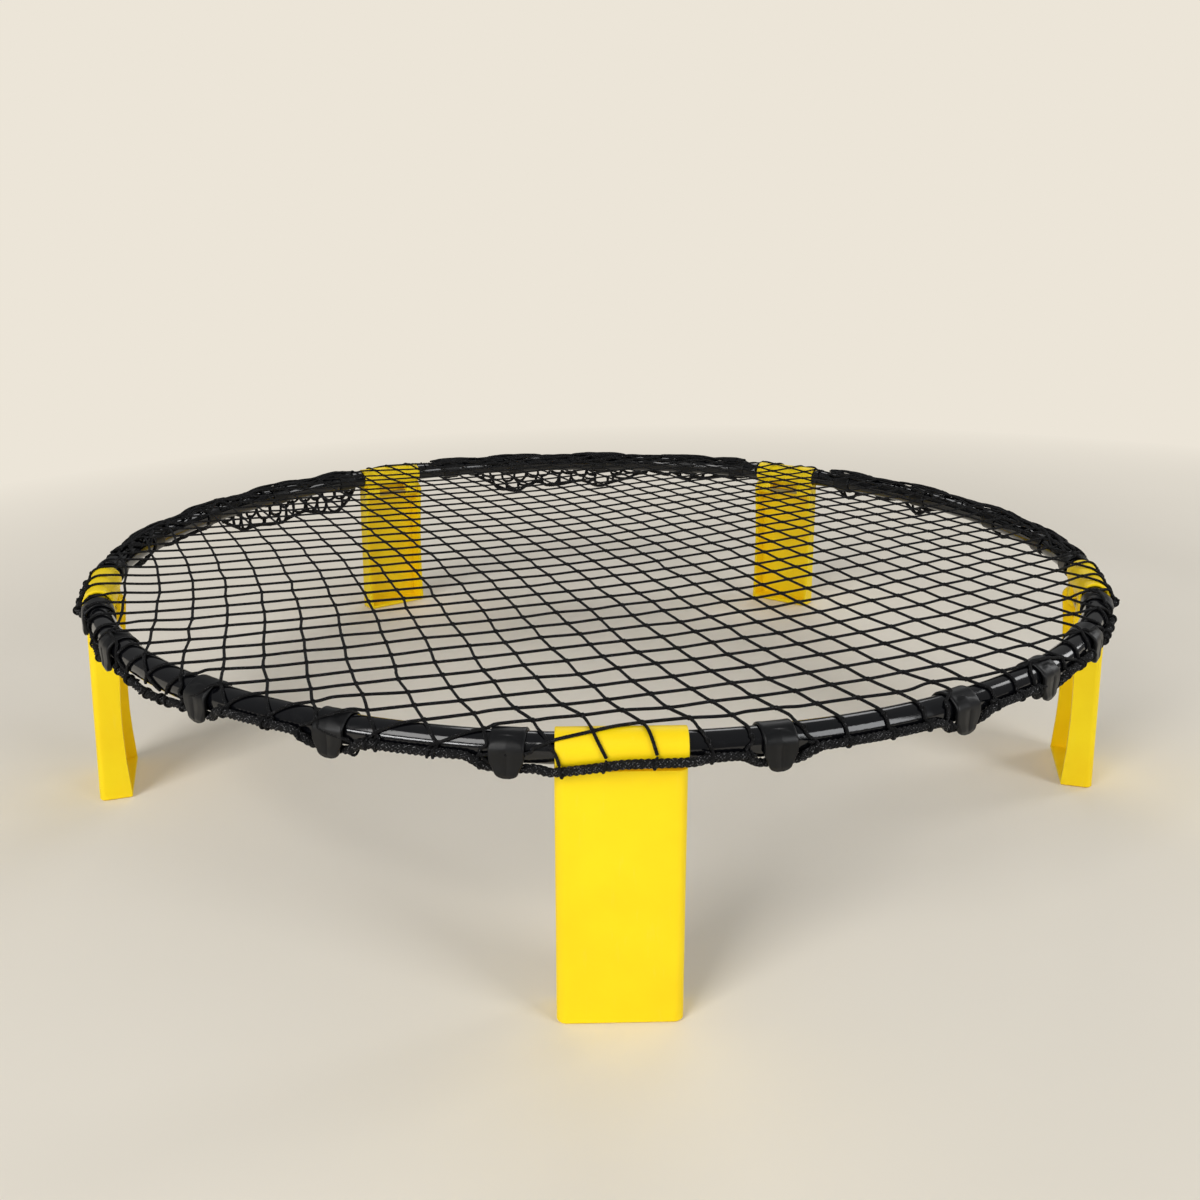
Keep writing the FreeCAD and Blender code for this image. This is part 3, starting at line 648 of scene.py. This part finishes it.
def edge_rope():
    """The rope that the net's edge is laced to, one closed ring of four twisted strands."""
    angles = np.linspace(0, 2 * math.pi, 3600, endpoint=False)
    line = rope_line(angles)
    for _ in range(24):
        line = line * 0.5 + (np.roll(line, 1, axis=0) + np.roll(line, -1, axis=0)) * 0.25
    uneven = random.normal(0, 1, len(angles))
    for _ in range(4):
        uneven = (uneven + np.roll(uneven, 1) + np.roll(uneven, -1)) / 3
    shell = Shell()
    sweep(shell, line, ring_out(angles), ROPE * (0.93 + 0.05 * uneven), sides=20, closed=True, lobes=4,
          depth=0.15, twist=15.0)
    shell.make("edge_rope", EDGE, "black_cord", "border_cord")


# ---- the net

# Places of the knots, in mm, as a smooth warp of a square mesh that was read off the photograph. Row p, q is
# the share of (first / WARP_UNIT) ** p * (second / WARP_UNIT) ** q.
WARP = (
    (40.0, -67.1), (-153.9, 385.6), (-42.0, 3.3), (-22.8, 27.8), (60.7, 23.1), (0.8, -52.0),
    (-32.9, -14.1), (7.2, 19.4), (376.4, 189.2), (-30.0, 30.2), (42.0, -38.8), (0.7, -30.9), (1.5, 38.3),
    (10.2, 17.4), (-7.8, -23.8), (-15.1, 101.5), (-9.2, 36.9), (-57.8, 20.3), (-37.6, -96.0),
    (19.7, -29.7), (22.7, 55.0), (29.8, -10.2), (10.5, -70.3), (-63.7, 56.4), (-25.0, 39.1),
    (23.4, -51.6), (20.0, -116.5), (32.3, -62.3), (38.4, 2.1), (0.8, 53.7), (-25.4, -20.3), (-2.4, 37.9),
    (44.4, -31.8), (-11.6, 59.5), (-20.0, 24.6), (6.5, 17.7),
)
DEGREE, WARP_UNIT = 7, 16.0
# How many knots there are on each side of the middle one, how unevenly they are spaced, and how many steps a
# strand takes from one to the next.
SPAN, KNOT_STRAY, CELL_STEPS = 25, 0.7, 18
# How far above the rope, round the tube, a strand is lashed to it, and how far above it the last knot is.
LASH_ABOVE, KNOT_ABOVE = 14, 16
# Beside a hook a strand is moved along the rim over this distance from the hook's middle.
HOOK_REACH = 32.0
# Where the net's loose edge hangs under the rope: first and last angle round the rim, and its depth in mm.
SKIRTS = ((5.0, 20.0, 7.0), (25.0, 47.0, 8.0), (63.5, 80.5, 9.0), (79.5, 110.5, 24.0), (131.5, 157.5, 27.0),
          (158.5, 183.0, 10.0))
# Where its slack folds run along the rim: first and last angle, and how far round the tube each fold lies.
FOLDS = ((-9, 2), (2, 46), (62, 92), (85, 118), (134, 160), (152, 186))
FOLD_LIES = (-42, -24, -8, 8, 22, 36, 52, 68, 84, 100, 116)


def knot_places():
    first, second = np.meshgrid(np.arange(-SPAN, SPAN + 1), np.arange(-SPAN, SPAN + 1), indexing="ij")
    powers = [(p, q) for p in range(DEGREE + 1) for q in range(DEGREE + 1 - p)]
    places = sum((first / WARP_UNIT)[..., None] ** p * (second / WARP_UNIT)[..., None] ** q * np.array(pair)
                 for (p, q), pair in zip(powers, WARP))
    return places + random.normal(0, KNOT_STRAY, places.shape)


def drape(flat):
    """Lays points of the flat net on the rim: level inside it, and down round the tube outside it.

    Gives the places, the directions out of the surface, how far round the tube they are in degrees, and
    their angles round the rim."""
    radius = np.hypot(flat[:, 0], flat[:, 1])
    angles = np.arctan2(flat[:, 1], flat[:, 0])
    centre = centre_radius(angles)
    inside = np.maximum(centre - radius, 0)
    turn = np.maximum(radius - centre, 0) / (TUBE + STRAND)

    # Beside a hook the strands are drawn clear of its band, some already on top of the tube.
    offset, nearest = near(angles, HOOK_ANGLES)
    degrees = np.degrees(turn)
    pull = np.maximum(HOOK_PUSH[nearest] * smooth((degrees - 4) / 34), smooth((degrees - 55) / 30))
    clear = (HOOK_HALF + STRAND + 0.7) * pull
    share = np.clip(np.abs(offset) / HOOK_REACH, 0, 1)
    moved = np.tanh(offset / 1.5) * (clear + (HOOK_REACH - clear) * share)
    angles = angles + (np.where(np.abs(offset) < HOOK_REACH, moved, offset) - offset) / RING

    out = ring_out(angles)
    normal = out * np.sin(turn)[:, None] + UP * np.cos(turn)[:, None]
    middle = out * np.where(inside > 0, radius, centre_radius(angles))[:, None] + UP * HEIGHT
    return middle + normal * surface_reach(angles, inside)[:, None], normal, degrees, angles


def lash(start, angle, rope_at):
    """A strand's end: down over the rope, round it tightly, and a short tail beside it."""
    out = ring_out(angle)
    along = np.array([-math.sin(angle), math.cos(angle), 0.0])
    first = math.atan2((start - rope_at) @ UP, (start - rope_at) @ out)
    turns = first - np.linspace(0, 2 * math.pi * random.choice([0.75, 1.1, 1.2]), 20)
    drift = np.linspace(0, 2.6, 20) * random.choice([-1, 1])
    spokes = out * np.cos(turns)[:, None] + UP * np.sin(turns)[:, None]
    wrap = rope_at + spokes * (ROPE + STRAND * 0.45) + along * drift[:, None]
    tail = random.uniform(0.8, 4.2) * np.linspace(0.25, 1, 4)[:, None]
    lean = unit(spokes[-1] * 0.55 + along * np.sign(drift[-1]) * 0.8 - UP * 0.35)
    facing = np.concatenate([spokes, spokes[-1:].repeat(len(tail), axis=0)])
    return np.concatenate([wrap, wrap[-1] + lean * tail]), facing


def strand(shell, flat):
    """One strand of the net, level inside the rim, over the tube, and lashed to the rope at both ends."""
    spots, normals, degrees, angles = drape(flat)
    good = degrees < rope_lie(angles)[0] - LASH_ABOVE
    if good.sum() < 30 or np.hypot(flat[good, 0], flat[good, 1]).min() > RING - 3:
        return
    where = np.flatnonzero(good)
    run = max(np.split(where, np.flatnonzero(np.diff(where) > 1) + 1), key=len)
    spots, normals, degrees, angles = eased(spots[run], 2), normals[run], degrees[run], angles[run]
    for edge in (0, -1):
        tail, spokes = lash(spots[edge], angles[edge], rope_line(angles[[edge]])[0])
        line, facing = evenly(tail, 0.8, spokes)
        sweep(shell, line, facing, STRAND * 0.85, sides=6)
    outside = degrees > 0.5
    cuts = np.flatnonzero(np.diff(outside.astype(int))) + 1
    for part in np.split(np.arange(len(spots)), cuts):
        if len(part) < 3:
            continue
        part = np.arange(max(part[0] - 1, 0), part[-1] + 1)
        if outside[part[-1]]:
            line, facing = evenly(spots[part], 0.85, normals[part])
            sweep(shell, line, facing, STRAND, sides=8, lobes=4, depth=0.10, twist=7.5)
        else:
            line, facing = evenly(spots[part], 2.4, normals[part])
            sweep(shell, line, facing, STRAND, sides=6)


def coil(shell, centre, along, normal, length, size, turns, thick, start=0.0):
    """A short coil of strand round a line through this place."""
    across = unit(np.cross(normal, along))
    turn = np.linspace(0, 2 * math.pi * turns, 11) + start
    drift = np.linspace(-length / 2, length / 2, 11)
    spokes = across * np.cos(turn)[:, None] + normal * np.sin(turn)[:, None]
    sweep(shell, centre + along * drift[:, None] + spokes * size, spokes, thick, sides=5)


def knots(shell, places):
    """The knot at each crossing: each strand's short coil round the other."""
    flat = places.reshape(-1, 2)
    inside = np.hypot(flat[:, 0], flat[:, 1]) < RING + 22
    index = np.argwhere(inside.reshape(places.shape[:2]))
    centres, normals, degrees, angles = drape(flat[inside])
    limit = rope_lie(angles)[0] - KNOT_ABOVE
    for (first, second), centre, normal, turn, most in zip(index, centres, normals, degrees, limit):
        if turn > most or first in (0, 2 * SPAN) or second in (0, 2 * SPAN):
            continue
        for number, (across, on) in enumerate(((1, 0), (0, 1))):
            ends = np.array([places[first + across, second + on], places[first - across, second - on]])
            ends = drape(places[first, second] + (ends - places[first, second]) * 0.12)[0]
            size = STRAND * random.uniform(0.92, 1.06)
            coil(shell, centre, unit(ends[0] - ends[1]), normal, 2.1, size, 1.35, STRAND * 0.58, number * 1.7)


def hanging_loop(shell, top, low, out, thick):
    """Half of a hanging loop: down from its upper knot, then round to the lower one."""
    fall = (top - low) @ UP
    across = low - top + UP * fall
    first = top - UP * fall * random.uniform(0.55, 0.95) - across * random.uniform(0.0, 0.25)
    last = low - across * random.uniform(0.35, 0.7) - UP * random.uniform(0.0, 1.5)
    t = np.linspace(0, 1, 13)[:, None]
    line = top * (1 - t) ** 3 + 3 * first * t * (1 - t) ** 2 + 3 * last * t ** 2 * (1 - t) + low * t ** 3
    line += out * np.sin(math.pi * t) * random.uniform(-1.5, 1.5)
    sweep(shell, line, np.tile(out, (len(line), 1)), thick, sides=6)


def skirt_knots(first, last, depth, rows, count):
    """Where a skirt's knots hang, by row and column: the top row on the rope, and lower ones out of line."""
    found = {}
    for row in range(rows + 1):
        for column in range(count + 1):
            shift = (0.5 if row % 2 else 0.0) + random.uniform(-0.34, 0.34) * (row > 0)
            share = (column + shift) / (count + 0.5)
            level = row / rows + (random.uniform(-0.2, 0.14) if 0 < row < rows else 0)
            sway = random.uniform(-2.2, 2.2) * (row > 0)
            # A skirt is deep in the middle and ends with little depth left.
            full = depth * (0.28 + 0.72 * min(1.0, math.sin(math.pi * min(max(share, 0), 1)) * 1.9))
            drop = full * level + (random.uniform(-3.4, 3.0) if row == rows else 0)
            angle = first + (last - first) * share
            rope = rope_line(np.array([angle]))[0]
            found[row, column] = rope + ring_out(angle) * sway - UP * max(drop, 0.0)
    return found


def skirt(shell, first, last, depth):
    """The slack edge of the net in a bay: uneven loops that hang from the rope, ended by a doubled strand."""
    first, last = math.radians(first), math.radians(last)
    count = max(4, int((last - first) * RING / 16.5))
    rows = 2 if depth > 15 else 1
    found = skirt_knots(first, last, depth, rows, count)
    out = ring_out((first + last) / 2)
    for row in range(rows):
        shift = 0 if row % 2 else -1
        for column in range(count + 1):
            for other in (column + shift, column + shift + 1):
                if (row + 1, other) in found and random.uniform() < 0.9:
                    thick = STRAND * random.uniform(1.35, 1.9)
                    hanging_loop(shell, found[row, column], found[row + 1, other], out, thick)
    for row in range(1, rows + 1):
        for column in range(count + 1):
            along = unit(np.cross(UP, out) + UP * random.uniform(-0.5, 0.5))
            coil(shell, found[row, column], along, out, 3.0, STRAND * 1.25, 1.4, STRAND * 0.95, column)
    edge = [found[0, 0], *(found[rows, column] for column in range(count + 1)), found[0, count]]
    line = evenly(through(np.array([edge[0], *edge, edge[-1]]), 8), 1.0)[0]
    sweep(shell, line, np.tile(out, (len(line), 1)), STRAND * 1.8, sides=8, lobes=3, depth=0.10, twist=8.0)


def folds(shell, first, last):
    """Slack folds of the net that run along the rim, wander up and down it and bridge its hooks and heads."""
    first, last = math.radians(first), math.radians(last)
    angles = np.linspace(first, last, int((last - first) * RING / 1.6))
    ends = smooth(np.minimum(np.arange(len(angles)), np.arange(len(angles))[::-1]) / 8)
    bridged = 26
    bridge = np.max([surface_reach(angles + step / RING) - 1.6 * (step / bridged) ** 2
                     for step in np.linspace(-bridged, bridged, 27)], axis=0)
    for lie in FOLD_LIES:
        wander = np.zeros(len(angles))
        for _ in range(3):
            swing = random.uniform(4, 11)
            wander += swing * np.sin(angles * RING / random.uniform(6, 26) + random.uniform(0, 6))
        turn = np.radians(lie + wander)
        lift = STRAND * (0.4 + 1.1 * ends * (0.6 + 0.4 * np.sin(angles * RING / 9.0 + lie)))
        facing = ring_out(angles) * np.sin(turn)[:, None] + UP * np.cos(turn)[:, None]
        sweep(shell, on_rim(angles, bridge + lift, turn), facing, STRAND * random.uniform(1.0, 1.35), sides=6)


def playing_net():
    """The whole net: both sets of strands, their knots, and its slack edge."""
    places = knot_places()
    shell = Shell()
    for grid in (places, places.transpose(1, 0, 2)):
        for row in range(grid.shape[1]):
            strand(shell, through(grid[:, row], CELL_STEPS))
    knots(shell, places)
    for first, last, depth in SKIRTS:
        skirt(shell, first, last, depth)
    for first, last in FOLDS:
        folds(shell, first, last)
    shell.make("playing_net", NET, "black_net", "net")


# ---- hard parts

def turned(points, angle):
    """The points turned about the ring's axis."""
    points = np.asarray(points, float)
    c, s = math.cos(angle), math.sin(angle)
    x, y, z = points[..., 0], points[..., 1], points[..., 2]
    return np.stack([x * c - y * s, x * s + y * c, z], axis=-1)


def tube(name, number):
    """A bent pipe between two heads, plugged into both."""
    inner = math.atan(TUBE_END / HEAD_X)
    angles = np.linspace(bay_start(number) + inner, bay_start(number) + math.radians(BAY) - inner, 260)
    shell = Shell()
    sweep(shell, on_rim(angles, np.zeros(len(angles)), 0.0), np.tile(UP, (len(angles), 1)), TUBE, sides=40)
    shell.make(f"tube_{name}", BLACK, "black_tube", f"rim_{name}")


def rounded_bar(half_width, half_thick, corner, groove):
    """Outline of a flat bar's section, its corners rounded, with a groove down its outer face: pairs of
    (across, out)."""
    corner = min(corner, half_width * 0.98, half_thick * 0.98)
    turns = np.radians(np.linspace(0, 90, 5))
    outline = []
    for across, out, begin in ((1, 1, 0), (-1, 1, 90), (-1, -1, 180), (1, -1, 270)):
        for turn in turns + math.radians(begin):
            outline.append((across * (half_width - corner) + corner * math.cos(turn),
                            out * (half_thick - corner) + corner * math.sin(turn)))
        if begin == 0:
            wide = min(0.8, half_width * 0.12)
            spread = half_width if half_width > 3 else half_width * 0.8
            face = [(spread * share, half_thick) for share in (0.80, 0.62, 0.5)]
            face += [(wide, half_thick), (wide * 0.55, half_thick - groove * 0.8)]
            outline += face + [(0, half_thick - groove)] + [(-x, y) for x, y in reversed(face)]
    return outline


def hook_path():
    """The line of a clip: round the tube from the inner end of its band to the outer side, then straight down
    to the tongue's tip. Each point has its place, the direction out of the clip's face, and how far it is
    above the tongue's start in degrees round the tube and below it in mm."""
    middle = (HOOK_BORE + HOOK_OUTER) / 2
    bottom = HEIGHT - HOOK_LOW
    path = []
    for turn in np.radians(np.linspace(BAND, 0, 72)):
        at = math.degrees(turn)
        reach = middle - (middle - HOOK_SNUG) * float(smooth((at - 15) / 45))
        out, up = math.cos(turn), math.sin(turn)
        path.append((RING + reach * out, HEIGHT + reach * up, out, up, at, 0.0))
    knob = bottom - KNOB * np.cos(np.linspace(0.18, 1.54, 12))
    for drop in np.concatenate([np.linspace(0.8, bottom - KNOB, 14), knob]):
        path.append((RING + middle, HEIGHT - drop, 1.0, 0.0, 0.0, drop))
    return path


def hook_sections(angle):
    """A clip: a band sprung round the tube that goes down outside as a tapered tongue with a rounded knob."""
    bottom = HEIGHT - HOOK_LOW
    sections = []
    for x, z, out_x, out_z, at, drop in hook_path():
        left = bottom - drop
        ease = float(smooth((BAND - at) / 14))
        taper = float(smooth((drop - 2.0) / (bottom - 5.0)))
        wide = HOOK_HALF * (0.90 + 0.10 * ease) + (TIP_HALF - HOOK_HALF) * taper
        thick = 0.75 + 0.45 * ease
        thick += 0.55 * float(smooth((drop - 6) / 7)) - 0.35 * float(smooth((at - 15) / 45))
        if left < KNOB:
            wide *= max(0.0, 1 - ((KNOB - left) / KNOB) ** KNOB_POWER) ** (1 / 2.4) * 0.96 + 0.04
            thick *= 0.72 + 0.28 * float(smooth(left / 3.5))
        groove = 0.5 * float(smooth((16 - at) / 10)) * float(smooth((left - 1.5) / 3))
        # The tongue starts as a raised plate with an arched top edge. Its face is two flats that meet at the
        # groove, and the band above it has beaded edges.
        ring = []
        for across, out in rounded_bar(wide, thick, 0.95, groove):
            if out > 0:
                share = min(abs(across) / wide, 1.0)
                plate = float(smooth((60 - 34 * share ** 2 - at) / 6)) * float(smooth(left / 5))
                bead = 0.34 * math.exp(-((share - 0.86) / 0.07) ** 2) * (at > 0)
                out += max(bead, plate * (0.40 + 0.50 * (1 - share)))
            ring.append((x + out_x * out, -across, z + out_z * out))
        sections.append(ring)
    return turned(sections, angle)


def clips(name):
    shell = Shell()
    for angle in HOOKS[name]:
        loft(shell, hook_sections(angle))
    shell.make(f"clips_{name}", GREY, "grey_plastic", f"hooks_{name}")


def sleeve():
    """Rings of the straight sleeve, from the bottom of one socket over its outside to that of the other."""
    half = [(along, HEAD_RADIUS) for along in (5.0, 20.0, HEAD_HALF - 5.2, HEAD_HALF - 4.9)]
    rounding = 0.9
    for turn in np.radians(np.linspace(0, 90, 5)):
        half.append((HEAD_HALF - rounding + rounding * math.sin(turn),
                     HEAD_RADIUS - rounding + rounding * math.cos(turn)))
    half += [(HEAD_HALF, SOCKET + 0.8), (HEAD_HALF - 0.25, SOCKET + 0.3), (HEAD_HALF - 0.8, SOCKET),
             (HEAD_HALF - 14, SOCKET), (SOCKET_END, SOCKET)]
    turns = np.arange(48) * 2 * math.pi / 48
    return [[(HEAD_X + radius * math.cos(turn), along, HEIGHT + radius * math.sin(turn)) for turn in turns]
            for along, radius in [(-along, radius) for along, radius in reversed(half)] + half]


def knuckle(side):
    """Rings of one knuckle with its neck, its edges rounded, from one end face to the other."""
    outline = [(HINGE_X + KNUCKLE * math.cos(turn), HINGE_Z + KNUCKLE * math.sin(turn))
               for turn in np.radians(np.linspace(180, 360, 19))]
    outline += [(x, HEIGHT - math.sqrt(NECK ** 2 - (x - HEAD_X) ** 2))
                for x in np.linspace(HINGE_X + KNUCKLE, HINGE_X - KNUCKLE, 15)]
    outline = np.array(outline)
    middle = outline.mean(axis=0)
    low, high = KNUCKLE_ENDS
    edge = ((0.0, 0.6), (0.18, 0.24), (0.6, 0.0))
    ends = [(low + along, inset) for along, inset in edge]
    ends += [(high - along, inset) for along, inset in edge[::-1]]
    inwards = unit(middle - outline)
    rings = [[(x, side * along, z) for x, z in outline + inwards * inset] for along, inset in ends]
    return rings[::-1] if side > 0 else rings


def head(name, station):
    """The sleeve with its two sockets, their rounded lips, and the hinge knuckles on webs under it."""
    shell, turn = Shell(), math.radians(station)
    loft(shell, turned(sleeve(), turn), ends=False)
    for side in (1, -1):
        loft(shell, turned(knuckle(side), turn))
    shell.make(f"socket_{name}", YELLOW, "yellow_plastic", f"head_{name}")


def leg(name, station):
    """The folding blade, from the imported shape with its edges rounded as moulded."""
    work = bmesh.new()
    work.from_mesh(nodes[f"leg_{name}"].data)
    bmesh.ops.remove_doubles(work, verts=work.verts, dist=0.01 * MM)
    bmesh.ops.dissolve_limit(work, angle_limit=math.radians(2.0), verts=work.verts, edges=work.edges)
    outward = Vector((math.cos(math.radians(station)), math.sin(math.radians(station)), 0))
    for vertex in work.verts:
        share = vertex.co.z / BLADE_TOP
        place = vertex.co.dot(outward)
        if share > 0.999 and place > (HINGE_X + 8) * MM:
            vertex.co.z += FRONT_LIP if name == "front" else LIP
        if place > (HINGE_X + 4) * MM and name != "front":
            vertex.co += outward * (0.5 + 3.0 * share) * MM
    sharp = math.radians(28)
    edges = [edge for edge in work.edges if len(edge.link_faces) == 2 and edge.calc_face_angle(0) > sharp]
    bmesh.ops.bevel(work, geom=edges, offset=0.7 * MM, offset_type="OFFSET", segments=3, profile=0.5,
                    affect="EDGES", clamp_overlap=True)
    for face in work.faces:
        face.smooth = True
    mesh = bpy.data.meshes.new(f"blade_{name}")
    work.to_mesh(mesh)
    work.free()
    ob = show(f"blade_{name}", mesh, YELLOW, f"folding_leg_{name}", f"leg_{name}")
    ob.modifiers.new("facing", "WEIGHTED_NORMAL").keep_sharp = True


edge_rope()
playing_net()
for count, bay in enumerate(BAYS):
    tube(bay, count)
    clips(bay)
for leg_name, heading in LEGS.items():
    head(leg_name, heading)
    leg(leg_name, heading)
    pin = nodes[f"pin_{leg_name}"]
    pin.data.materials.clear()
    pin.data.materials.append(STEEL)
